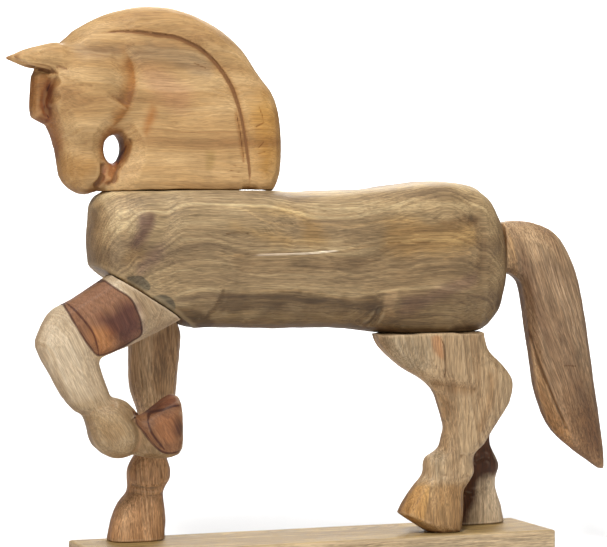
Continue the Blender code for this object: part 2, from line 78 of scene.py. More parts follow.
# How often each kind of figure repeats in a metre, along and across the fibres
SWAY_SCALE = (7, 19, 19)
ZONE_SCALE = (4, 42, 42)
STREAK_SCALE = (24, 720, 720)
FINE_SCALE = (110, 1300, 1300)
PORE_SCALE = (70, 1100, 1100)
CLOUD_SCALE = (12, 24, 24)
WAVE_SCALE = 55.0          # waver of the tints' rims

BROAD_RING = 9.0           # widths of the growth rings in millimetres
THIN_RING = 1.2
ROUGHNESS = 0.6
SHADED = 0.60              # a cloudy patch against the wood's middle colour
PORE_TINT = (0.50, 0.42, 0.34)
# Painted shade on surfaces that face the ends or downwards
END_AND_UNDER_SHADE_TINT = (0.66, 0.55, 0.44)

# The floor and the wall that it sweeps up into, in metres
FLOOR_HALF = 6.0
FLOOR_FRONT = -5.0
SWEEP_START = 3.0
SWEEP_RADIUS = 1.5
SWEEP_ROWS = 18
WALL_TOP = 5.0

# Lines and patches on the blocks, as places in the side view
HEAD_MARKS = {
    "mane": ((-215, 471), (-200, 473), (-183, 473), (-164, 471), (-147, 469), (-134, 464),
        (-122, 458), (-109, 447), (-99, 435), (-92, 424), (-87, 411), (-83, 397), (-80, 382),
        (-77, 363), (-75, 347), (-74, 329)),
    "second": ((-89, 403), (-85, 386), (-82, 367), (-80, 349)),
    "crest": ((-261, 462), (-242, 468), (-223, 470), (-208, 473), (-181, 481), (-153, 484)),
    "cheek": ((-193, 452), (-189, 441), (-187, 428), (-189, 416), (-194, 403), (-201, 392),
        (-209, 383)),
    "forelock": ((-259, 432), (-264, 422), (-268, 409), (-265, 397), (-259, 384)),
    "forelock_split": ((-276, 434), (-277, 423), (-278, 409), (-279, 395)),
    "ear": ((-301, 445), (-292, 440), (-282, 439), (-270, 438), (-257, 432)),
    "ear_ridge": ((-290, 447), (-277, 445), (-262, 441), (-248, 437)),
    "brow": ((-257, 432), (-249, 427), (-238, 423), (-225, 422)),
    "brow_two": ((-251, 424), (-242, 420), (-233, 420)),
    "jaw": ((-214, 353), (-215, 345), (-217, 337), (-222, 331)),
    "chin": ((-216, 343), (-213, 339), (-215, 330), (-228, 326), (-225, 332), (-219, 337)),
    "lobe": ((-189, 376), (-191, 366), (-195, 357), (-201, 346), (-204, 337), (-212, 333)),
    "lobe_patch": ((-197, 363), (-193, 360), (-198, 350), (-203, 341), (-208, 334), (-214, 335),
        (-215, 345), (-208, 352)),
    "inner": ((-206, 380), (-199, 377), (-193, 373), (-193, 367), (-199, 361), (-201, 370)),
    "smear": ((-170, 407), (-165, 400), (-169, 389), (-175, 378), (-178, 385), (-175, 398)),
    "grey_one": ((-242, 456), (-219, 460), (-202, 458), (-201, 453), (-216, 450), (-234, 450)),
    "grey_two": ((-193, 457), (-170, 461), (-143, 457), (-116, 448), (-116, 435), (-137, 438),
        (-162, 447), (-185, 447)),
    "pink": ((-183, 441), (-162, 438), (-145, 429), (-132, 418), (-143, 400), (-163, 411),
        (-176, 425)),
    "face_edge": ((-265, 427), (-259, 424), (-264, 406), (-257, 388), (-252, 370), (-257, 357),
        (-261, 373), (-269, 389), (-271, 406)),
    "warm_low": ((-212, 359), (-220, 363), (-221, 345), (-231, 330), (-248, 326), (-257, 337),
        (-252, 355), (-235, 359)),
    "rings": ((-132, 446), (-122, 442), (-116, 440)),
    "olive": ((-118, 365), (-109, 363), (-111, 350), (-118, 347)),
    "mane_gold": ((-75, 408), (-59, 416), (-48, 393), (-48, 356), (-57, 337), (-67, 347),
        (-71, 384)),
    "scratch_a": ((-67, 408), (-63, 397), (-62, 391)),
    "scratch_b": ((-71, 386), (-65, 389), (-59, 392)),
    "scratch_c": ((-68, 366), (-63, 371), (-60, 375)),
    "scratch_d": ((-71, 361), (-63, 363), (-58, 364)),
    "chisel_a": ((-95, 352), (-87, 350), (-77, 348)),
    "chisel_b": ((-97, 347), (-87, 345), (-78, 343)),
    "chisel_c": ((-95, 340), (-87, 340), (-79, 339)),
    "chisel_d": ((-89, 358), (-83, 356), (-77, 353)),
}
BODY_MARKS = {
    "smear": ((-185, 304), (-174, 306), (-176, 295), (-181, 285), (-188, 276), (-193, 278),
        (-190, 290), (-188, 299)),
    "smear_tan": ((-193, 274), (-186, 276), (-185, 268), (-193, 263), (-199, 265)),
    "lilac": ((-191, 260), (-174, 274), (-165, 278), (-165, 269), (-179, 256), (-187, 251)),
    "blotch": ((-197, 249), (-191, 250), (-184, 249), (-178, 242), (-179, 237), (-187, 239),
        (-195, 243)),
    "blotch_two": ((-175, 232), (-166, 233), (-158, 230), (-153, 223), (-154, 217), (-159, 214),
        (-167, 221), (-174, 227)),
    "corner": ((-160, 222), (-141, 220), (-120, 212), (-112, 203), (-126, 195), (-150, 204)),
    "curve": ((-107, 240), (-110, 231), (-113, 224), (-118, 215), (-127, 208)),
    "line_one": ((-112, 313), (-97, 312), (-84, 309), (-74, 303), (-63, 298), (-48, 296),
        (-34, 296), (-29, 296), (-4, 296), (16, 294), (34, 296), (52, 299), (70, 299), (89, 302),
        (108, 305)),
    "knot_bar": ((-109, 287), (-100, 289), (-88, 289), (-81, 287)),
    "crack": ((-84, 268), (-61, 268.5), (-34, 269), (-10, 270.5), (12, 272.5)),
    "crack_left": ((-116, 268), (-100, 268), (-84, 268)),
    "crack_right": ((12, 273), (28, 275), (46, 278)),
    "under_crack": ((-97, 269), (-34, 269), (-19, 269), (9, 270), (26, 267), (44, 263), (32, 256),
        (-6, 254), (-43, 252), (-85, 252), (-100, 259)),
    "edge_line": ((-100, 235), (-73, 235), (-48, 235), (-34, 235), (-29, 234), (-6, 230),
        (16, 226), (37, 226), (49, 227)),
    "low_dark": ((-108, 234), (-73, 234), (-34, 235), (-29, 233), (-6, 229), (16, 225), (49, 225),
        (50, 215), (38, 214), (13, 216), (-19, 219), (-43, 221), (-73, 219), (-107, 216),
        (-112, 224)),
    "grey_end": ((51, 235), (65, 235), (66, 227), (62, 216), (65, 206), (52, 205), (49, 218),
        (52, 227)),
    "chip": ((37, 199), (43, 205), (47, 214), (49, 215), (47, 206), (44, 199)),
    "lilac_two": ((70, 228), (95, 232), (128, 243), (147, 250), (145, 238), (115, 227), (93, 217),
        (70, 210)),
    "dark_bar": ((102, 302), (109, 298), (121, 299), (139, 304), (152, 301), (147, 296),
        (134, 298), (115, 296)),
    "rim": ((139, 303), (151, 298), (155, 285), (154, 271), (152, 252), (154, 235)),
    "rim_dark": ((144, 300), (158, 294), (160, 283), (158, 271), (155, 259), (152, 245),
        (147, 257), (151, 271), (146, 285)),
    "warm_mid": ((50, 298), (82, 299), (102, 295), (141, 294), (147, 283), (128, 271), (82, 267),
        (52, 274)),
    "arc": ((108, 262), (120, 265), (134, 268), (145, 269)),
    "dash_a": ((52, 279), (61, 279), (70, 279)),
    "dash_b": ((75, 280), (85, 279), (102, 278)),
    "warm_top": ((-79, 310), (-34, 306), (-34, 280), (-61, 282), (-79, 289), (-97, 295),
        (-15, 277), (-14, 291), (-29, 304)),
    "grey_chest": ((-233, 321), (-205, 326), (-191, 310), (-195, 276), (-211, 261), (-228, 270),
        (-235, 293)),
}
RAISED_MARKS = {
    "heart": ((-217, 246), (-209, 239), (-196, 230), (-190, 219), (-186, 209), (-184, 197),
        (-191, 191), (-205, 183), (-223, 178), (-233, 186), (-241, 197), (-247, 207), (-253, 219),
        (-254, 226), (-246, 234), (-233, 242)),
    "heart_inner": ((-252, 226), (-245, 218), (-237, 208), (-231, 199), (-227, 189), (-224, 179)),
    "blotch": ((-222, 211), (-210, 214), (-198, 222), (-191, 217), (-188, 204), (-198, 193),
        (-210, 198), (-215, 202)),
    "orange": ((-231, 201), (-215, 202), (-210, 195), (-215, 183), (-222, 180), (-226, 186)),
    "hoof": ((-192, 128), (-184, 124), (-175, 132), (-164, 138), (-152, 142), (-146, 133),
        (-144, 124), (-145, 110), (-148, 88), (-156, 87), (-165, 88), (-176, 99), (-185, 111),
        (-191, 120)),
    "hoof_edge": ((-191, 126), (-189, 116), (-183, 108), (-175, 97), (-165, 89), (-156, 87),
        (-148, 89)),
    "hoof_inner": ((-178, 117), (-176, 108), (-170, 99), (-163, 91)),
    "hoof_top": ((-190, 124), (-184, 124), (-176, 131), (-167, 136), (-152, 142)),
    "cup": ((-174, 120), (-162, 124), (-152, 124), (-150, 108), (-154, 95), (-164, 97),
        (-171, 107)),
    "cup_spot": ((-152, 116), (-147, 112), (-148, 104), (-153, 106)),
    "cup_top": ((-182, 124), (-170, 133), (-154, 141), (-146, 136), (-147, 130), (-160, 129),
        (-172, 124)),
    "hoof_ring": ((-178, 117), (-174, 124), (-164, 127), (-156, 130), (-148, 131)),
    "pastern": ((-191, 122), (-187, 113), (-185, 104), (-187, 91), (-190, 82)),
    "ball_top": ((-238, 119), (-233, 124), (-226, 130), (-217, 133), (-207, 134)),
    "strip": ((-212, 248), (-180, 232), (-148, 211), (-178, 190), (-184, 205), (-187, 222),
        (-197, 234)),
    "shin": ((-273, 168), (-266, 158), (-256, 142), (-246, 131), (-250, 129), (-261, 141),
        (-270, 156)),
    "fetlock_grey": ((-220, 119), (-207, 116), (-202, 107), (-210, 100), (-221, 107)),
}
STANDING_MARKS = {
    "dark_top": ((-160, 191), (-132, 203), (-133, 173), (-136, 140), (-150, 136), (-160, 147)),
    "knee": ((-179, 127), (-169, 121), (-160, 126)),
}
NEAR_MARKS = {
    "hoof_side": ((113, 48), (143, 40), (143, 1), (123, -1), (100, 10), (102, 29)),
    "hoof_edge": ((114, 49), (106, 37), (101, 24), (100, 11)),
    "crack": ((111, 189), (115, 179), (116, 167), (117, 155), (117, 147)),
    "mark": ((102, 189), (111, 189), (115, 177), (114, 167), (103, 176)),
    "grey": ((53, 189), (97, 188), (102, 173), (97, 155), (75, 161), (61, 175)),
    "crease": ((103, 142), (121, 140), (142, 138), (151, 137)),
    "crease_two": ((112, 135), (118, 126), (119, 115), (115, 107)),
    "grey_two": ((111, 75), (121, 77), (115, 64), (118, 51), (108, 56), (109, 67)),
    "fetlock": ((113, 82), (119, 74), (120, 65), (118, 53)),
    "heel": ((137, 76), (133, 68), (133, 60), (138, 50)),
    "pastern": ((95, 55), (106, 53), (121, 48), (136, 44)),
    "ridge_two": ((105, 46), (102, 34), (99, 22), (95, 14)),
    "toe": ((104, 48), (101, 34), (98, 22), (94, 12), (74, 16), (76, 30), (86, 42)),
    "back_dip": ((145, 76), (147, 65), (141, 52)),
    "hock": ((161, 158), (166, 141), (164, 122), (157, 103), (154, 92)),
}
FAR_MARKS = {
    # Partly dark core wood, partly painted shadow from the near hind leg
    "heartwood": ((120, 150), (150, 120), (205, 120), (200, 92), (194, 74), (201, 60), (196, 48),
        (178, 44), (168, 20), (160, 0), (140, 0), (140, 60), (130, 110)),
    "fetlock": ((171, 62), (180, 66), (189, 65)),
    "pastern": ((157, 34), (174, 32), (189, 44)),
}
TAIL_MARKS = {
    "line": ((210, 234), (222, 188), (234, 149), (251, 112), (263, 89)),
    "saw": ((251, 156), (260, 156), (270, 155)),
}


def at(x, z):
    """A point of the side view: millimetres from the plank's middle and above its top."""
    return (x * MM, z * MM + PLANK_TOP)


class Lattice:
    """Smooth noise in space, the same at each run."""

    def __init__(self, seed, size=32):
        self.size = size
        self.values = np.random.RandomState(seed).uniform(-1.0, 1.0, (size, size, size))

    def __call__(self, points, scale):
        """Noise at points, one swell in each 1 / scale metres along each axis."""
        place = points * np.asarray(scale)
        cell = np.floor(place).astype(int)
        part = place - cell
        part = part * part * (3 - 2 * part)
        total = np.zeros(len(points))
        for corner in range(8):
            bits = np.array([corner & 1, corner >> 1 & 1, corner >> 2 & 1])
            share = np.prod(np.where(bits, part, 1 - part), axis=1)
            index = (cell + bits) % self.size
            total += share * self.values[index[:, 0], index[:, 1], index[:, 2]]
        return total


NOISE = Lattice(7)
FACET_NOISE = Lattice(19)


def rise(value, low, high):
    """0 below low, 1 above high, and a smooth rise between."""
    share = np.clip((value - low) / (high - low), 0.0, 1.0)
    return share * share * (3 - 2 * share)


def smooth_line(points, steps=8):
    """A finely divided smooth line through points of the side view."""
    points = np.array(points, float)
    padded = np.vstack([2 * points[0] - points[1], points, 2 * points[-1] - points[-2]])
    fine = []
    for i in range(len(points) - 1):
        a, b, c, d = padded[i:i + 4]
        for t in np.arange(steps) / steps:
            fine.append(0.5 * (2 * b + (c - a) * t + (2 * a - 5 * b + 4 * c - d) * t ** 2
                               + (3 * b - a - 3 * c + d) * t ** 3))
    fine.append(points[-1])
    return np.array(fine)


def line_distance(places, line, reach=30 * MM):
    """Distance of side-view places to a line, its share of the length, and the side it is on.

    Places farther away than reach count as lying at that distance.
    """
    best = np.full(len(places), reach)
    share = np.zeros(len(places))
    side = np.zeros(len(places))
    near = np.all((places > line.min(0) - reach) & (places < line.max(0) + reach), axis=1)
    if near.any():
        best[near], share[near], side[near] = near_line(places[near], line, reach)
    return best, share, side


def near_line(places, line, reach):
    """The same three numbers, worked out for each of the places."""
    best = np.full(len(places), reach)
    share = np.zeros(len(places))
    side = np.zeros(len(places))
    count = len(line) - 1
    for i in range(count):
        a, along = line[i], line[i + 1] - line[i]
        length = max(float(along @ along), 1e-12)
        t = np.clip(((places - a) @ along) / length, 0.0, 1.0)
        away = places - a - t[:, None] * along
        distance = np.hypot(away[:, 0], away[:, 1])
        closer = distance < best
        best = np.where(closer, distance, best)
        share = np.where(closer, (i + t) / count, share)
        side = np.where(closer, np.sign(along[0] * away[:, 1] - along[1] * away[:, 0]), side)
    return best, share, side


def inside(places, outline):
    """Which side-view places lie inside a closed outline."""
    result = np.zeros(len(places), bool)
    for a, b in zip(outline, np.roll(outline, 1, axis=0)):
        if a[1] != b[1]:
            crosses = (a[1] > places[:, 1]) != (b[1] > places[:, 1])
            at_x = (b[0] - a[0]) * (places[:, 1] - a[1]) / (b[1] - a[1]) + a[0]
            result ^= crosses & (places[:, 0] < at_x)
    return result


class Surface:
    """A block's fine surface while it is carved."""

    def __init__(self, node, cell, marks=None):
        self.node = node
        self.marks = marks
        rough = bpy.data.objects.new("rough " + node, NODES[node].data.copy())
        bpy.context.scene.collection.objects.link(rough)
        remesh = rough.modifiers.new("even faces", "REMESH")
        remesh.mode = "VOXEL"
        remesh.voxel_size = cell
        depsgraph = bpy.context.evaluated_depsgraph_get()
        self.mesh = bpy.data.meshes.new_from_object(rough.evaluated_get(depsgraph))
        bpy.data.objects.remove(rough)
        count = len(self.mesh.vertices)
        flat = np.empty(count * 3, np.float32)
        self.mesh.vertices.foreach_get("co", flat)
        self.points = flat.reshape(-1, 3).astype(float)
        edges = np.empty(len(self.mesh.edges) * 2, np.int32)
        self.mesh.edges.foreach_get("vertices", edges)
        self.edges = edges.reshape(-1, 2)
        self.degree = np.bincount(self.edges.ravel(), minlength=count)[:, None]
        self.attributes = {}

    def spread(self, values):
        """Mean of each point's neighbours."""
        a, b = self.edges.T
        count = len(values)
        total = np.empty_like(values)
        for k in range(values.shape[1]):
            total[:, k] = np.bincount(a, values[b, k], count) + np.bincount(b, values[a, k], count)
        return total / self.degree

    def smooth(self, rounds, back=BLOCK_BACK, sawn=()):
        """Takes out the facets and keeps the volume.

        The nearer back is to -0.5, the wider the swells that are taken out. sawn
        holds two points of each flat face in the side view, which stays as it is.
        """
        free = np.ones(len(self.points))
        for start, end in sawn:
            start, along = np.array(at(*start)), np.array(at(*end)) - np.array(at(*start))
            away = (self.side_view - start) @ np.array((-along[1], along[0]))
            free *= rise(np.abs(away) / np.hypot(*along) / MM, 0.8, 7.0)
        for _ in range(rounds):
            for share in (0.5, back):
                step = self.spread(self.points) - self.points
                self.points += share * free[:, None] * step

    def blur(self, values, rounds):
        """Values at the points, evened out with their neighbours'."""
        values = values[:, None]
        for _ in range(rounds):
            values = 0.5 * values + 0.5 * self.spread(values)
        return values[:, 0]

    def normals(self):
        """Each point's normal on the surface as it is now."""
        self.mesh.vertices.foreach_set("co", self.points.astype(np.float32).ravel())
        self.mesh.update()
        flat = np.empty(len(self.points) * 3, np.float32)
        self.mesh.vertices.foreach_get("normal", flat)
        return flat.reshape(-1, 3).astype(float)

    def push(self, amount):
        """Moves each point out along its normal, or in where the amount is below zero."""
        self.points += self.normals() * np.asarray(amount)[:, None]

    @property
    def side_view(self):
        """Each point's place along and up, in metres."""
        return self.points[:, [0, 2]]

    def facing(self, side=0):
        """1 where the surface looks to the left (-1) or right (1) side, or to either (0)."""
        across = self.normals()[:, 1]
        across = np.abs(across) if side == 0 else across * side
        return rise(across, 0.15, 0.55)

    def line(self, mark, steps=8):
        """The smooth line of a mark given by its name, or of places as they are."""
        places = self.marks[mark] if isinstance(mark, str) else mark
        return smooth_line([at(*place) for place in places], steps)

    def groove(self, mark, width, depth, side=0):
        """A V-shaped cut along a line of the side view, which runs out at both ends."""
        line = self.line(mark)
        away, share, _ = line_distance(self.side_view, line)
        cut = np.clip(1 - away / (width * MM), 0.0, 1.0) ** 1.4
        cut = cut * rise(share, 0.0, 0.06) * (1 - rise(share, 0.92, 1.0))
        self.push(-depth * MM * cut * self.facing(side))

    def ledge(self, mark, drop, reach, side, drop_end=None, edge=1.0, ends=(0.10, 0.93)):
        """Lowers the surface on one side of a line, most of all along the line itself.

        The step up to the line's other side is edge millimetres wide each way. ends
        are the shares of its length where the ledge is fully in and starts to run out.
        """
        line = self.line(mark)
        away, share, lies = line_distance(self.side_view, line, 3 * reach * MM)
        away /= MM
        depth = drop + ((drop if drop_end is None else drop_end) - drop) * share
        low = np.exp(-(away / reach) ** 2) * rise(lies * side * away, -edge, edge)
        fade = rise(share, 0.0, ends[0]) * (1 - rise(share, ends[1], ends[1] + 0.07))
        self.push(-depth * MM * low * fade * self.facing())

    def melt(self, mark, width, rounds):
        """Smooths the surface near a line."""
        line = self.line(mark)
        away = line_distance(self.side_view, line)[0] / MM
        share = (1 - rise(away, 0.5 * width, width))[:, None]
        for _ in range(rounds):
            self.points += 0.7 * share * (self.spread(self.points) - self.points)

    def line_field(self, name, marks, width, one_side=True, lying=0):
        """Marks minus the distance in millimetres to the nearest of some lines.

        lying keeps the mark to one side of the lines in the side view.
        """
        field = np.full(len(self.points), -UNMARKED)
        for mark in marks:
            line = self.line(mark, 4)
            away, share, lies = line_distance(self.side_view, line)
            ends = 1 - rise(share, 0.0, 0.15) + rise(share, 0.8, 1.0)
            beyond = np.where(lies * lying < 0, 6 * away, away)
            field = np.maximum(field, -beyond / MM - ends * width)
        self.mark(name, self.one_sided(field) if one_side else field)

    def patch_field(self, name, marks, one_side=True):
        """Marks the distance in millimetres to the rim of some patches, above 0 inside them."""
        field = np.full(len(self.points), -UNMARKED)
        for mark in marks:
            corners = self.marks[mark]
            outline = self.line(corners + corners[:1], 4)
            away = line_distance(self.side_view, outline)[0] / MM
            within = inside(self.side_view, outline)
            field = np.maximum(field, np.where(within, away, -away))
        self.mark(name, self.one_sided(field) if one_side else field)

    def side_field(self, name, mark, side):
        """Marks the distance in millimetres past a line, above 0 on one side of it."""
        line = self.line(mark)
        away, _, lies = line_distance(self.side_view, line, 90 * MM)
        self.mark(name, self.one_sided(away / MM * lies * side))

    def slope_field(self, name, axis, start, end):
        """Marks a rise from 0 to 1 along one axis, between two places in millimetres."""
        value = self.points[:, axis] / MM - (PLANK_TOP / MM if axis == 2 else 0.0)
        self.mark(name, (value - start) / (end - start))

    def open_joint(self, line, gap, upward):
        """Draws a sawn face back, by a gap given at places along X.

        line is two points of the face in the side view. gap is rows of x, the
        opening near the left edge and the opening elsewhere, in millimetres. upward
        is 1 where the face is drawn up and -1 where it is drawn down.
        """
        (x0, z0), (x1, z1) = (at(*point) for point in line)
        slope = (z1 - z0) / (x1 - x0)
        level = z0 + slope * (self.points[:, 0] - x0)
        away = (self.points[:, 2] - level) * upward / math.hypot(1.0, slope) / MM
        places, near, far = zip(*gap)
        left = self.points[:, 1].min()
        edge = 1 - rise((self.points[:, 1] - left) / MM, 10.0, 22.0)
        opening = np.interp(self.points[:, 0] / MM, places, near)
        opening = opening * (1.0 + 0.35 * NOISE(self.points * (1, 0, 0), 70.0)) * edge
        opening += np.interp(self.points[:, 0] / MM, places, far) * (1 - edge)
        self.points[:, 2] += upward * MM * opening * (1 - rise(away, 0.0, JOINT_REACH))

    def one_sided(self, field):
        """Keeps a mark to the block's left side."""
        middle = 0.5 * (self.points[:, 1].min() + self.points[:, 1].max())
        return field - UNMARKED * rise(self.points[:, 1] - middle, -4 * MM, 8 * MM)

    def dent(self, centre, radii, depth, side=0, turn=0.0):
        """A round hollow, or a swelling where the depth is below zero."""
        away = (self.side_view - np.array(at(*centre))) / MM
        angle = math.radians(turn)
        u = away[:, 0] * math.cos(angle) + away[:, 1] * math.sin(angle)
        v = -away[:, 0] * math.sin(angle) + away[:, 1] * math.cos(angle)
        share = np.exp(-((u / radii[0]) ** 2 + (v / radii[1]) ** 2) * 1.6)
        self.push(-depth * MM * share * self.facing(side))

    def swell(self, centre, radii, height):
        """A round swelling all around a limb, or a narrowing where the height is below zero."""
        away = (self.side_view - np.array(at(*centre))) / MM / np.array(radii)
        self.push(height * MM * np.exp(-1.6 * (away ** 2).sum(axis=1)))

    def draw_out(self, centre, radii, move):
        """A corner or tip drawn out in the side view, by millimetres along and up."""
        away = (self.side_view - np.array(at(*centre))) / MM / np.array(radii)
        reach = np.exp(-1.2 * (away ** 2).sum(axis=1))
        self.points[:, 0] += move[0] * MM * reach
        self.points[:, 2] += move[1] * MM * reach

    def handwork(self, swell=0.45, facet=0.22, fibre=(1, 1, 1)):
        """Unevenness left by the gouge and the rasp."""
        amount = swell * NOISE(self.points, 42.0) + facet * FACET_NOISE(self.points, 105.0)
        stretched = self.points * np.asarray(fibre)
        amount += 0.10 * NOISE(stretched, 260.0)
        self.push(amount * MM)

    def mark(self, name, values):
        """A named number at each point for the material."""
        self.attributes[name] = np.asarray(values, np.float32)

    def finish(self, material):
        """The finished piece, which stands for its solid."""
        normals = self.normals()
        # How hollow the surface is: the material darkens hollows, partly dirt and partly painted
        # shade, and makes ridges paler
        bend = np.einsum("ij,ij->i", self.spread(self.points) - self.points, normals)
        hollow = self.blur(bend / MM, 4)
        self.mark("hollow", hollow)
        # How far the surface faces the ends or downwards, for the material's painted shade there
        self.mark("turned", np.maximum(np.abs(normals[:, 0]), -normals[:, 2]))
        for name, values in self.attributes.items():
            layer = self.mesh.attributes.new(name, "FLOAT", "POINT")
            layer.data.foreach_set("value", values)
        self.mesh.shade_smooth()
        self.mesh.materials.clear()
        self.mesh.materials.append(material)
        piece = bpy.data.objects.new(self.node + "_wood", self.mesh)
        bpy.context.scene.collection.objects.link(piece)
        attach(piece, "root")
        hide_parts(self.node)
        return piece


class Nodes:
    """A short way to write a material's node tree."""

    def __init__(self, name):
        self.material = bpy.data.materials.new(name)
        self.material.use_nodes = True
        self.tree = self.material.node_tree
        self.shader = self.tree.nodes["Principled BSDF"]
        self.place = self.new("ShaderNodeTexCoord").outputs["Object"]

    def new(self, kind, inputs=(), **settings):
        """A node of a kind, with what its inputs hold or are fed by."""
        node = self.tree.nodes.new(kind)
        for key, value in settings.items():
            setattr(node, key, value)
        for key, value in dict(inputs).items():
            self.give(node.inputs[key], value)
        return node

    def give(self, socket, value):
        """Feeds a socket from another one, or sets it."""
        if isinstance(value, bpy.types.NodeSocket):
            self.tree.links.new(value, socket)
        else:
            socket.default_value = value

    def math(self, operation, a, b=0.0, c=0.0):
        return self.new("ShaderNodeMath", {0: a, 1: b, 2: c}, operation=operation).outputs[0]

    def stretch(self, vector, scale, turn=(0, 0, 0), shift=(0, 0, 0)):
        return self.new("ShaderNodeMapping", {"Vector": vector, "Scale": scale, "Rotation": turn,
                                              "Location": shift}).outputs[0]

    def noise(self, vector, scale, detail=3.0, roughness=0.55, distortion=0.0):
        return self.new("ShaderNodeTexNoise", {"Vector": vector, "Scale": scale, "Detail": detail,
                                               "Roughness": roughness,
                                               "Distortion": distortion}).outputs["Fac"]

    def range(self, value, low, high, to_low=0.0, to_high=1.0):
        """A smooth rise from one number to another while a value goes from low to high."""
        return self.new("ShaderNodeMapRange", {"Value": value, "From Min": low, "From Max": high,
                                               "To Min": to_low, "To Max": to_high},
                        interpolation_type="SMOOTHSTEP").outputs[0]

    def mix(self, share, a, b, kind="MIX"):
        node = self.new("ShaderNodeMix", data_type="RGBA", blend_type=kind)
        self.give(node.inputs["Factor"], share)
        for key, value in ((6, a), (7, b)):
            self.give(node.inputs[key], (*value, 1.0) if isinstance(value, tuple) else value)
        return node.outputs[2]

    def number(self, name):
        """A mark of the surface."""
        return self.new("ShaderNodeAttribute", attribute_name=name).outputs["Fac"]


def wood(name, pale, mid, dark, turn, pith, hollow_dirt_and_shade=None, figure=0.5, blotch=0.5, strokes=0.5,
         bend=0.007, tints=()):
    """Wood with its fibres along the turned X axis.

    pale, mid and dark are the wood's colours. pith is where the middle of the
    rings lies, figure is how plainly the rings show, strokes how plainly the
    fibres do and bend how far they sway in metres. hollow_dirt_and_shade is the
    colour of hollows, partly dirt and partly painted shade. Each tint is a mark's
    name, the two distances in millimetres between which it sets in, how far its rim
    wavers, and the colour that the wood is multiplied by.
    """
    n = Nodes(name)
    fibre = n.stretch(n.place, (1, 1, 1), turn)
    warp = n.new("ShaderNodeTexNoise", {"Vector": n.stretch(fibre, SWAY_SCALE), "Scale": 1.0,
                                        "Detail": 2.0, "Roughness": 0.4})
    shift = n.new("ShaderNodeVectorMath", {0: warp.outputs["Color"], 1: (0.5, 0.5, 0.5)},
                  operation="SUBTRACT").outputs[0]
    shift = n.new("ShaderNodeVectorMath", {0: shift, 1: (0.0, 2 * bend, 2 * bend)},
                  operation="MULTIPLY").outputs[0]
    grain = n.new("ShaderNodeVectorMath", {0: fibre, 1: shift}, operation="ADD").outputs[0]
    centred = n.stretch(grain, (0.10, 1, 1), (0, 0, 0), tuple(-value for value in pith))
    radius = n.new("ShaderNodeVectorMath", {0: centred}, operation="LENGTH").outputs["Value"]

    def rings(spacing, detail):
        width = n.math("MULTIPLY", radius, 1 / (spacing * MM))
        return n.new("ShaderNodeTexNoise", {"W": width, "Detail": detail, "Roughness": 0.6},
                     noise_dimensions="1D").outputs["Fac"]

    broad = rings(BROAD_RING, 1.0)
    thin = rings(THIN_RING, 2.0)
    zones = n.noise(n.stretch(grain, ZONE_SCALE), 1.0, 2.0, 0.5)
    streaks = n.noise(n.stretch(grain, STREAK_SCALE), 1.0, 2.0, 0.6)
    fine = n.noise(n.stretch(grain, FINE_SCALE, (0, 0, 0), (2, 4, 6)), 1.0, 1.0, 0.6)
    pores = n.noise(n.stretch(grain, PORE_SCALE, (0, 0, 0), (3, 5, 7)), 1.0, 1.0, 0.5)
    cloud = n.noise(n.stretch(fibre, CLOUD_SCALE), 1.0, 4.0, 0.6, 0.6)
    wave = n.noise(fibre, WAVE_SCALE, 3.0, 0.6)

    tone = n.math("MULTIPLY_ADD", broad, figure, n.math("MULTIPLY", zones, 1 - figure))
    colour = n.mix(n.range(tone, 0.33, 0.53), dark, mid)
    colour = n.mix(n.range(tone, 0.48, 0.68), colour, pale)
    colour = n.mix(n.math("MULTIPLY", n.range(cloud, 0.44, 0.70), blotch), colour,
                   tuple(value * SHADED for value in mid))
    colour = n.mix(n.math("MULTIPLY", n.range(cloud, 0.50, 0.28), blotch * 0.7), colour, pale)
    centre = n.math("SUBTRACT", wave, 0.5)
    for mark, low, high, waver, tint in tints:
        field = n.math("MULTIPLY_ADD", centre, 2.0 * waver, n.number(mark))
        colour = n.mix(n.range(field, low, high), colour, n.mix(1.0, colour, tint, "MULTIPLY"))
    light = n.range(thin, 0.38, 0.60, 1 - 0.50 * figure, 1 + 0.18 * figure)
    light = n.math("MULTIPLY", light, n.range(streaks, 0.38, 0.60, 1 - 0.48 * strokes,
                                              1 + 0.22 * strokes))
    light = n.math("MULTIPLY", light, n.range(fine, 0.38, 0.62, 1 - 0.36 * strokes,
                                              1 + 0.20 * strokes))
    colour = n.mix(1.0, colour, n.new("ShaderNodeCombineColor", {0: light, 1: light,
                                                                 2: light}).outputs[0], "MULTIPLY")
    pore = n.math("MULTIPLY", n.range(pores, 0.42, 0.30), strokes)
    colour = n.mix(pore, colour, n.mix(1.0, colour, PORE_TINT, "MULTIPLY"))
    # Painted shade: darker where the surface faces the ends or downwards
    turned = n.math("MULTIPLY", n.range(n.number("turned"), 0.50, 0.98), 0.75)
    colour = n.mix(turned, colour, n.mix(1.0, colour, END_AND_UNDER_SHADE_TINT, "MULTIPLY"))
    # Darker in hollows: partly dirt, partly painted shade
    hollow = n.number("hollow")
    deep = n.math("MULTIPLY", n.range(hollow, 0.015, 0.12), 0.85)
    colour = n.mix(deep, colour, hollow_dirt_and_shade or tuple(value * 0.3 for value in mid))
    worn = n.math("MULTIPLY", n.range(hollow, -0.02, -0.09), 0.22)
    colour = n.mix(worn, colour, tuple(min(1.0, value * 1.15) for value in pale))

    rough = n.range(fine, 0.3, 0.7, ROUGHNESS - 0.08, ROUGHNESS + 0.10)
    height = n.math("MULTIPLY_ADD", fine, 0.5, n.math("MULTIPLY", pore, -0.6))
    height = n.math("MULTIPLY_ADD", streaks, 0.6, height)
    bump = n.new("ShaderNodeBump", {"Strength": 0.4, "Distance": 0.0006, "Height": height})
    n.give(n.shader.inputs["Base Color"], colour)
    n.give(n.shader.inputs["Roughness"], rough)
    n.give(n.shader.inputs["Normal"], bump.outputs[0])
    n.shader.inputs["Specular IOR Level"].default_value = 0.3
    return n.material


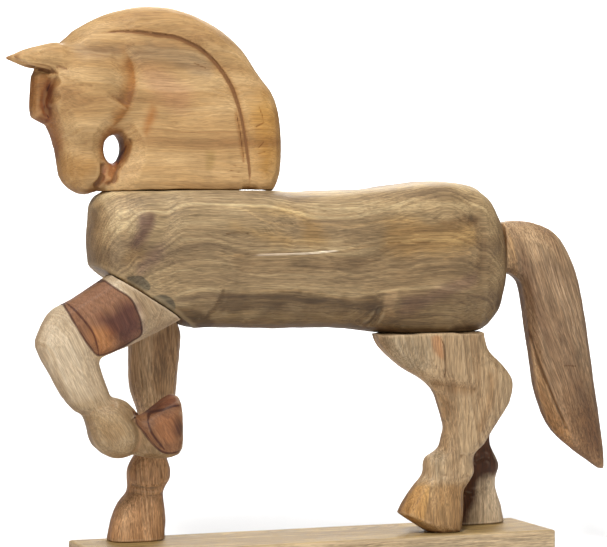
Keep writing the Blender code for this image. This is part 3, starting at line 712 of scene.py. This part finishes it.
# Colours of the blocks, in linear light
GOLD = ((0.56, 0.36, 0.165), (0.45, 0.265, 0.105), (0.32, 0.165, 0.06))
GREY_BROWN = ((0.46, 0.335, 0.175), (0.30, 0.20, 0.098), (0.17, 0.108, 0.055))
CREAM = ((0.60, 0.475, 0.325), (0.485, 0.36, 0.225), (0.355, 0.24, 0.135))
TAN = ((0.58, 0.42, 0.25), (0.45, 0.305, 0.165), (0.28, 0.170, 0.082))
FAR_TAN = ((0.84, 0.70, 0.51), (0.66, 0.50, 0.32), (0.40, 0.28, 0.165))
BROWN = ((0.66, 0.47, 0.28), (0.50, 0.32, 0.17), (0.31, 0.185, 0.088))
RED_BROWN = ((0.43, 0.29, 0.175), (0.30, 0.185, 0.098), (0.185, 0.102, 0.052))
PLANK_COLOURS = ((0.62, 0.47, 0.29), (0.51, 0.37, 0.215), (0.35, 0.235, 0.125))

UPRIGHT = (0, math.radians(90), 0)
LENGTHWISE = (0, 0, 0)


def dress_body():
    """The log: grain lengthwise, darker below, with a long crack on the seen side."""
    surface = Surface("body", 1.9 * MM, BODY_MARKS)
    surface.smooth(30)
    surface.draw_out((-223, 327), (15, 20), (-8.5, 0.0))
    surface.handwork(0.7, 0.22, (0.15, 1, 1))
    surface.dent((-165, 292), (13, 34), 3.4, -1, -18)
    surface.dent((-186, 290), (9, 32), -1.2, -1, -8)
    for mark, width, depth in (("crack", 1.6, 0.5), ("curve", 6.0, 0.9), ("line_one", 2.4, 0.5),
                               ("edge_line", 2.4, 0.4), ("chip", 3.4, 1.6), ("rim", 12.0, 1.6),
                               ("dash_b", 1.8, 0.5)):
        surface.groove(mark, width, depth, -1)
    for name, *patches in (("violet", "smear", "lilac", "lilac_two"),
                           ("grey", "blotch", "blotch_two"), ("chest", "grey_chest"),
                           ("low", "low_dark"), ("dark", "under_crack", "rim_dark"),
                           ("smudge", "smear"), ("bar", "dark_bar"), ("corner", "corner"),
                           ("warm", "warm_mid", "warm_top", "smear_tan"), ("cold", "grey_end")):
        surface.patch_field(name, patches)
    surface.line_field("thin", ("line_one", "edge_line", "arc", "crack_left", "crack_right"), 1.5)
    surface.line_field("split", ("crack",), 0.6)
    surface.line_field("scar", ("knot_bar", "dash_a", "dash_b", "chip"), 2.0)
    # Painted shade along the soft dent of the curve
    surface.line_field("curve", ("curve",), 4.0)
    # Painted light on the log's top and painted shade on its underside
    surface.slope_field("upper", 2, 292, 328)
    surface.slope_field("rear", 0, -10, 70)
    surface.slope_field("under", 2, 238, 200)
    surface.slope_field("rump", 0, 165, 200)
    surface.finish(wood("grey brown log", *GREY_BROWN, LENGTHWISE, (0, 0.09, 0.35), figure=0.28,
                        blotch=0.6, strokes=0.43, tints=(
        # Painted light on the top and painted shade on the underside
        ("upper", 0, 1, 0.2, (1.52, 1.60, 1.66)),
        ("under", 0, 1, 0.4, (0.53, 0.47, 0.38)),
        ("rear", 0, 1, 0.3, (0.80, 0.76, 0.72)),
        ("rump", 0, 1, 0.2, (0.84, 0.80, 0.74)),
        ("chest", -8, 6, 6, (1.10, 1.10, 1.12)),
        ("violet", -5, 5, 5, (0.86, 0.80, 0.92)),
        ("grey", -0.8, 0.8, 2.0, (0.42, 0.46, 0.52)),
        ("low", -4, 3, 5, (0.58, 0.54, 0.50)),
        ("dark", -4, 3, 5, (0.80, 0.76, 0.73)),
        ("smudge", -5, 4, 4, (0.45, 0.37, 0.40)),
        ("corner", -3, 2, 2, (0.56, 0.50, 0.44)),
        ("bar", -4, 3, 4, (0.62, 0.55, 0.50)),
        ("warm", -9, 8, 8, (1.14, 1.03, 0.80)),
        ("cold", -2, 2, 3, (1.36, 1.36, 1.38)),
        ("thin", -2.0, -0.3, 1.0, (1.34, 1.32, 1.26)),
        ("scar", -1.8, -0.2, 1.0, (0.58, 0.50, 0.42)),
        # Painted shade along the curve's dent
        ("curve", -4.0, 0.0, 2.0, (0.66, 0.60, 0.54)),
        ("split", -1.4, -0.5, 0.15, (2.8, 3.4, 5.0)),
    )))


def dress_head():
    """Golden wood, with the mane, cheek, forelock, ear and jaw carved on both sides."""
    surface = Surface("head_and_neck", 1.45 * MM, HEAD_MARKS)
    surface.smooth(14)
    surface.draw_out((-295, 446), (14, 14), (-3.5, 0.0))
    surface.draw_out((-283, 438), (13, 7), (0.0, -3.5))
    surface.melt("cheek", 12.0, 110)
    surface.melt("mane", 9.0, 50)
    surface.melt(((-247, 436), (-242, 450), (-246, 464)), 12.0, 60)
    surface.handwork(0.4, 0.18)
    surface.ledge("cheek", 4.0, 20.0, -1, 5.5, 6.0, (0.4, 0.62))
    surface.ledge("mane", 3.0, 15.0, -1, 1.0, 0.9, (0.22, 1.0))
    for mark, width, depth in (("mane", 1.7, 1.8), ("second", 1.8, 0.6), ("crest", 3.0, 0.5),
                               ("forelock", 4.0, 1.6), ("forelock_split", 1.8, 0.6),
                               ("ear", 3.6, 3.0), ("ear_ridge", 4.0, 1.3)):
        surface.groove(mark, width, depth)
    surface.dent((-277, 451), (8, 2.6), 1.3)
    surface.groove("brow", 2.8, 1.0)
    surface.groove("brow_two", 2.2, 0.7)
    surface.groove("jaw", 4.5, 3.4)
    surface.groove("lobe", 4.0, 2.2)
    surface.dent((-237, 403), (21, 24), -1.4)
    surface.dent((-238, 333), (7, 3.5), 0.8, 0, 20)
    for name in ("scratch_a", "scratch_b", "scratch_c", "scratch_d",
                 "chisel_a", "chisel_b", "chisel_c", "chisel_d"):
        surface.groove(name, 1.7, 0.6)
    for name, *patches in (("grey", "grey_one", "grey_two"), ("pink", "pink"),
                           ("orange", "smear"), ("gold", "mane_gold"), ("warm", "warm_low"),
                           ("olive", "olive")):
        surface.patch_field(name, patches)
    # face, inner and chin are painted shade: the face's left edge, the hole's inner wall and under
    # the chin; lobe is the lobe's own colour
    for name, patch in (("face", "face_edge"), ("lobe", "lobe_patch"), ("inner", "inner"),
                        ("chin", "chin")):
        surface.patch_field(name, (patch,), False)
    # Painted shade beside the carved grooves and a painted shadow line in them
    surface.line_field("seam", ("mane", "second", "ear", "jaw", "lobe", "forelock"), 3.0, False)
    # Painted shade along the cheek's crease and painted shadow around the hole
    surface.line_field("crease", ("cheek",), 9.0, False, -1)
    surface.line_field("fold", ("cheek",), 6.0, False)
    hole = np.array(at(*HOLE)) - surface.side_view
    surface.mark("hole", -np.hypot(hole[:, 0] - 3 * MM, 0.75 * hole[:, 1]) / MM)
    surface.open_joint(((-217, 327.6), (-8, 327.6)), ((-212, 0.1, -0.25), (-190, 0.3, -0.25),
                       (-178, 1.2, -0.25), (-140, 1.5, -0.25), (-84, 1.3, -0.25), (-78, 1.6, 0.9),
                       (-50, 1.4, 0.9), (-43, 0.4, -0.25), (-36, 0.2, -0.25)), 1)
    surface.line_field("scratch", ("scratch_a", "scratch_b", "scratch_c", "scratch_d",
                                   "chisel_a", "chisel_b", "chisel_c", "rings"), 1.5)
    # The forelock's plate in front of the face, with painted shade where it lies back from the
    # cheeks, and the lower end of the head, darker with painted shade
    surface.mark("plate", (-262 * MM - surface.points[:, 0]) / MM
                 - UNMARKED * rise(surface.points[:, 2] - PLANK_TOP, 0.432, 0.440)
                 - UNMARKED * rise(surface.points[:, 2] - PLANK_TOP, 0.390, 0.384))
    surface.mark("muzzle", np.minimum((0.385 - surface.points[:, 2] + PLANK_TOP) / 0.045,
                                      (-0.204 - surface.points[:, 0]) / 0.012))
    surface.finish(wood("golden block", *GOLD, LENGTHWISE, (0, 0.10, 0.52), figure=0.16,
                        blotch=0.42, strokes=0.27, bend=0.011, hollow_dirt_and_shade=(0.18, 0.075, 0.024), tints=(
        ("grey", -8, 6, 6, (0.82, 0.88, 1.06)),
        ("pink", -10, 8, 7, (0.92, 0.84, 0.90)),
        ("orange", -4, 5, 4, (0.84, 0.60, 0.42)),
        ("gold", -12, 10, 8, (0.90, 0.76, 0.46)),
        ("warm", -14, 12, 10, (0.95, 0.84, 0.64)),
        ("olive", -3, 3, 3, (0.80, 0.80, 0.70)),
        # Painted shade along and beside the cheek's crease, and painted shadow around the hole
        ("crease", -17, -1, 5, (0.78, 0.61, 0.42)),
        ("fold", -7, 0, 3, (0.84, 0.72, 0.56)),
        ("hole", -18, -11, 3, (0.66, 0.48, 0.36)),
        # Painted shade on the face's left edge
        ("face", -5, 4, 3, (0.70, 0.52, 0.42)),
        ("lobe", -1.5, 1.5, 1.5, (0.84, 0.58, 0.45)),
        # Painted shade on the hole's inner wall and under the chin
        ("inner", -2, 2, 1, (0.62, 0.66, 0.72)),
        ("chin", -3, 2, 2, (0.58, 0.44, 0.32)),
        # Painted shade on the lower end of the head and on the forelock's plate
        ("muzzle", 0, 1, 0.5, (0.82, 0.82, 0.84)),
        ("plate", -2, 2, 0.5, (0.57, 0.41, 0.27)),
        # Painted shade beside the grooves and a painted shadow line in them
        ("seam", -5, -0.5, 2.0, (0.84, 0.72, 0.60)),
        ("seam", -0.9, -0.2, 0.3, (0.36, 0.25, 0.18)),
        ("scratch", -1.0, -0.2, 0.5, (0.62, 0.50, 0.40)),
    )))


def dress_raised_foreleg():
    """Cream wood with a band and a hoof of red heartwood."""
    surface = Surface("raised_foreleg", 1.15 * MM, RAISED_MARKS)
    surface.smooth(LIMB_ROUNDS, LIMB_BACK, (SHOULDER_CUT, RAISED_SOLE))
    surface.handwork(0.3, 0.15)
    surface.swell((-263, 216), (16, 16), 2.2)
    surface.swell((-272, 180), (14, 18), 1.0)
    surface.swell((-226, 98), (12, 12), 2.0)
    surface.swell((-238, 122), (7, 7), -1.8)
    surface.dent((-207, 106), (23, 23), -3.0)
    surface.groove("ball_top", 8.0, 2.2)
    surface.groove("pastern", 8.0, 2.8)
    surface.groove("hoof_top", 2.2, 1.0)
    surface.dent((-165, 112), (9, 15), 1.6)
    for name in ("heart", "hoof", "blotch", "orange", "strip", "cup", "cup_spot", "cup_top"):
        surface.patch_field(name, (name,), False)
    surface.patch_field("shade", ("shin", "fetlock_grey"))
    surface.line_field("zone", ("heart_inner", "hoof_inner", "hoof_top", "hoof_edge",
                                "hoof_ring"), 0.3, False)
    surface.open_joint(SHOULDER_CUT,
                       ((-225, 0.6, 0.0), (-205, 1.3, 0.0), (-165, 1.5, 0.0), (-143, 1.0, 0.0)), -1)
    surface.mark("heart_rim", -np.abs(surface.attributes["heart"]))
    surface.slope_field("low", 2, 160, 120)
    turn = (0, math.radians(-60), 0)
    surface.finish(wood("cream wood", *CREAM, turn, (0, 0.06, 0.0), figure=0.25, blotch=0.30,
                        strokes=0.34, hollow_dirt_and_shade=(0.30, 0.17, 0.08), tints=(
        ("low", 0, 1, 0.4, (0.66, 0.58, 0.46)),
        ("shade", -4, 4, 3, (0.84, 0.78, 0.70)),
        ("strip", -4, 4, 4, (0.78, 0.74, 0.68)),
        ("heart", -0.5, 0.5, 0.5, (0.47, 0.285, 0.215)),
        ("blotch", -12, 4, 8, (0.42, 0.32, 0.40)),
        ("orange", -9, 4, 4, (1.50, 1.36, 0.95)),
        ("hoof", -0.5, 0.5, 0.4, (0.64, 0.42, 0.34)),
        ("cup", -3, 6, 5, (1.36, 1.28, 1.22)),
        ("cup_spot", -6, 3, 5, (0.46, 0.42, 0.46)),
        ("cup_top", -3, 3, 2, (0.60, 0.44, 0.38)),
        ("heart_rim", -1.5, -0.5, 0.4, (0.30, 0.22, 0.20)),
        ("zone", -1.5, -0.5, 0.3, (0.36, 0.25, 0.22)),
    )))


def dress_standing_foreleg():
    """Brown wood with a ringed pastern."""
    surface = Surface("standing_foreleg", 1.15 * MM, STANDING_MARKS)
    surface.smooth(LIMB_ROUNDS, LIMB_BACK, (SHOULDER_CUT, SOLES))
    surface.handwork(0.3, 0.2)
    surface.groove("knee", 4.0, 0.8)
    surface.groove(((-182, 54), (-160, 50), (-139, 53)), 4.0, 1.4)
    surface.groove(((-182, 47), (-160, 43), (-141, 45)), 3.0, 0.9)
    # Painted shadow on the upper leg, beneath the body and the raised leg
    surface.patch_field("dark", ("dark_top",), False)
    surface.slope_field("low", 2, 110, 80)
    surface.finish(wood("brown wood", *BROWN, UPRIGHT, (-0.2, 0.10, 0.30), figure=0.3,
                        strokes=0.6, tints=(
        # Painted shadow beneath the body and the raised leg
        ("dark", -3, 3, 3, (0.74, 0.66, 0.58)),
        ("low", 0, 1, 0.5, (1.00, 0.84, 0.72)),
    )))


def dress_near_hind_leg():
    """Tan wood with a crack from the thigh's top and a faceted hoof."""
    surface = Surface("near_hind_leg", 1.2 * MM, NEAR_MARKS)
    surface.smooth(LIMB_ROUNDS, LIMB_BACK, (HIND_CUT, SOLES, TOE))
    surface.handwork(0.35, 0.2)
    surface.groove("crack", 1.8, 1.0, -1)
    for mark, width, depth in (("crease", 8.0, 1.6), ("crease_two", 7.0, 1.4),
                               ("fetlock", 10.0, 2.2), ("heel", 9.0, 1.8), ("pastern", 10.0, 1.4),
                               ("ridge_two", 8.0, 1.6), ("hoof_edge", 6.0, 1.3)):
        surface.groove(mark, width, depth)
    surface.swell((106, 66), (9, 11), 1.8)
    surface.swell((146, 62), (9, 11), 1.6)
    # Painted light on the hoof's toe facet and painted shade on its side facet
    surface.patch_field("toe", ("toe",))
    surface.patch_field("hoof_side", ("hoof_side",), False)
    surface.open_joint(HIND_CUT, ((50, 0.3, 0.0), (56, 1.6, 0.0),
                       (82, 1.4, 0.0), (96, 0.2, 0.0), (126, 0.2, 0.0), (134, 1.5, 0.0),
                       (155, 1.5, 0.0), (163, 0.5, 0.0)), -1)
    surface.groove("back_dip", 5.0, 1.0)
    surface.patch_field("mark", ("mark",))
    surface.patch_field("grey", ("grey", "grey_two"))
    surface.line_field("crack", ("crack",), 1.0)
    # Painted shade along the creases and the hock
    surface.line_field("crease", ("crease", "crease_two", "hock"), 6.0, False)
    surface.slope_field("low", 2, 54, 42)
    surface.slope_field("sole", 2, 5.0, 0.0)
    surface.finish(wood("tan wood", *TAN, UPRIGHT, (-0.2, 0.08, 0.0), figure=0.25, blotch=0.35,
                        strokes=0.5, hollow_dirt_and_shade=(0.16, 0.085, 0.035), tints=(
        ("grey", -5, 5, 5, (0.76, 0.79, 0.82)),
        ("mark", -2, 3, 3, (0.94, 0.72, 0.60)),
        # Painted shade along the creases
        ("crease", -9, 0, 3, (0.80, 0.72, 0.64)),
        ("low", 0, 1, 0.6, (0.92, 0.80, 0.62)),
        # Painted light on the toe facet and painted shade on the side facet
        ("toe", -1, 1, 0.4, (1.28, 1.20, 0.98)),
        ("hoof_side", -2, 1.5, 1, (0.88, 0.85, 0.82)),
        ("sole", 0.2, 0.9, 0.8, (0.34, 0.26, 0.20)),
        ("crack", -1.1, -0.3, 0.5, (0.34, 0.26, 0.20)),
    )))


def dress_far_hind_leg():
    """Pale wood, darkened on the seen side partly by its dark core wood and partly by painted
    shadow from the near hind leg.
    """
    surface = Surface("far_hind_leg", 1.2 * MM, FAR_MARKS)
    surface.smooth(LIMB_ROUNDS, LIMB_BACK, (HIND_CUT, SOLES))
    surface.handwork(0.35, 0.2)
    surface.groove("fetlock", 5.0, 1.0)
    surface.groove("pastern", 5.0, 1.2)
    surface.patch_field("heartwood", ("heartwood",))
    surface.finish(wood("brown tan wood", *FAR_TAN, UPRIGHT, (-0.2, 0.10, 0.1), figure=0.25,
                        strokes=0.5, tints=(
        # Partly dark core wood, partly painted shadow from the near hind leg
        ("heartwood", -5, 5, 6, (0.13, 0.052, 0.013)),
    )))


def dress_tail():
    """Reddish wood with a lower facet along its front edge."""
    surface = Surface("tail", 1.2 * MM, TAIL_MARKS)
    surface.smooth(LIMB_ROUNDS, LIMB_BACK, (RUMP_CUT,))
    surface.handwork(0.4, 0.2)
    # Painted light on the tail's top
    surface.slope_field("upper", 2, 245, 290)
    surface.slope_field("tip", 2, 170, 90)
    surface.ledge("line", 2.4, 12.0, -1)
    surface.groove("saw", 1.2, 0.5, -1)
    surface.line_field("line", ("line", "saw"), 2.0)
    surface.side_field("facet", "line", -1)
    surface.finish(wood("reddish wood", *RED_BROWN, (0, math.radians(-69), 0), (0.1, 0.06, 0.60),
                        figure=0.25, strokes=0.6, tints=(
        # Painted light on the top
        ("upper", 0, 1, 0.4, (1.55, 1.62, 1.62)),
        ("facet", -4, 2, 3, (1.28, 1.24, 1.10)),
        ("tip", 0, 1, 0.4, (0.72, 0.60, 0.48)),
        ("line", -1.2, -0.2, 0.5, (0.62, 0.52, 0.44)),
    )))


def dress_plank():
    """The sawn plank, yellower on top."""
    surface = Surface("base_plank", 1.9 * MM)
    surface.smooth(3)
    surface.push(0.12 * MM * NOISE(surface.points * (0.1, 1, 1), 300.0))
    surface.mark("top", surface.normals()[:, 2])
    surface.finish(wood("plank wood", *PLANK_COLOURS, LENGTHWISE, (0, 0.03, 0.10), figure=0.5,
                        strokes=0.5, tints=(("top", 0.4, 0.8, 0.0, (0.78, 0.70, 0.44)),)))


def studio():
    """A white floor that sweeps up into a white wall, and soft light."""
    floor = bpy.data.meshes.new("floor")
    points = []
    rows = SWEEP_ROWS
    sides = (-FLOOR_HALF, FLOOR_HALF)
    for side in sides:
        for i in range(rows):
            angle = 0.5 * math.pi * i / (rows - 1)
            points.append((side, SWEEP_START + SWEEP_RADIUS * math.sin(angle),
                           SWEEP_RADIUS - SWEEP_RADIUS * math.cos(angle)))
    outer = ((FLOOR_FRONT, 0.0), (SWEEP_START + SWEEP_RADIUS, WALL_TOP))
    ends = [(side, y, z) for side in sides for y, z in outer]
    faces = [(i, i + 1, rows + i + 1, rows + i) for i in range(rows - 1)]
    base = 2 * rows
    faces += [(base, 0, rows, base + 2), (rows - 1, base + 1, base + 3, 2 * rows - 1)]
    floor.from_pydata(points + ends, [], faces)
    floor.shade_smooth()
    n = Nodes("white paper")
    n.shader.inputs["Base Color"].default_value = (0.90, 0.90, 0.90, 1.0)
    n.shader.inputs["Roughness"].default_value = 0.9
    n.shader.inputs["Specular IOR Level"].default_value = 0.1
    floor.materials.append(n.material)
    stage = bpy.data.objects.new("floor", floor)
    bpy.context.scene.collection.objects.link(stage)

    world = bpy.data.worlds.new("studio")
    world.use_nodes = True
    world.node_tree.nodes["Background"].inputs["Color"].default_value = (1.0, 1.0, 1.0, 1.0)
    world.node_tree.nodes["Background"].inputs["Strength"].default_value = 0.20
    bpy.context.scene.world = world
    for name, place, size, power, goal in (
        ("key", (-1.4, -2.2, 2.9), 1.0, 122.0, (0.0, 0.0, 0.3)),
        ("side", (1.9, -2.4, 1.4), 1.3, 12.0, (0.0, 0.0, 0.3)),
        ("top", (0.0, -0.1, 2.6), 1.2, 20.0, (0.0, 0.0, 0.3)),
        ("near floor light", (0.75, 1.4, 1.5), 1.0, 24.0, (0.75, 1.2, 0.0)),
        ("floor light", (1.2, 3.0, 2.2), 1.6, 34.0, (1.2, 3.0, 0.0)),
        ("wall light", (1.5, 3.0, 1.6), 1.6, 40.0, (1.8, 4.5, 0.6)),
    ):
        light = bpy.data.lights.new(name, "AREA")
        light.shape = "DISK"
        light.size = size
        light.energy = power
        lamp = bpy.data.objects.new(name, light)
        lamp.location = place
        lamp.rotation_euler = (Vector(goal) - lamp.location).to_track_quat("-Z", "Y").to_euler()
        bpy.context.scene.collection.objects.link(lamp)
    bpy.context.scene.view_settings.view_transform = "Standard"


def camera():
    """The photograph's camera."""
    data = bpy.data.cameras.new("camera")
    data.sensor_width = SENSOR_WIDTH
    data.lens = SENSOR_WIDTH * FOCAL_PIXELS / IMAGE_WIDTH
    data.clip_end = 50.0
    item = bpy.data.objects.new("camera", data)
    yaw, pitch = math.radians(CAMERA_YAW), math.radians(CAMERA_PITCH)
    look = Vector((math.sin(yaw) * math.cos(pitch), math.cos(yaw) * math.cos(pitch),
                   -math.sin(pitch)))
    item.location = CAMERA_PLACE
    item.rotation_euler = look.to_track_quat("-Z", "Y").to_euler()
    bpy.context.scene.collection.objects.link(item)
    bpy.context.scene.camera = item


camera()
studio()
dress_plank()
dress_body()
dress_head()
dress_raised_foreleg()
dress_standing_foreleg()
dress_near_hind_leg()
dress_far_hind_leg()
dress_tail()
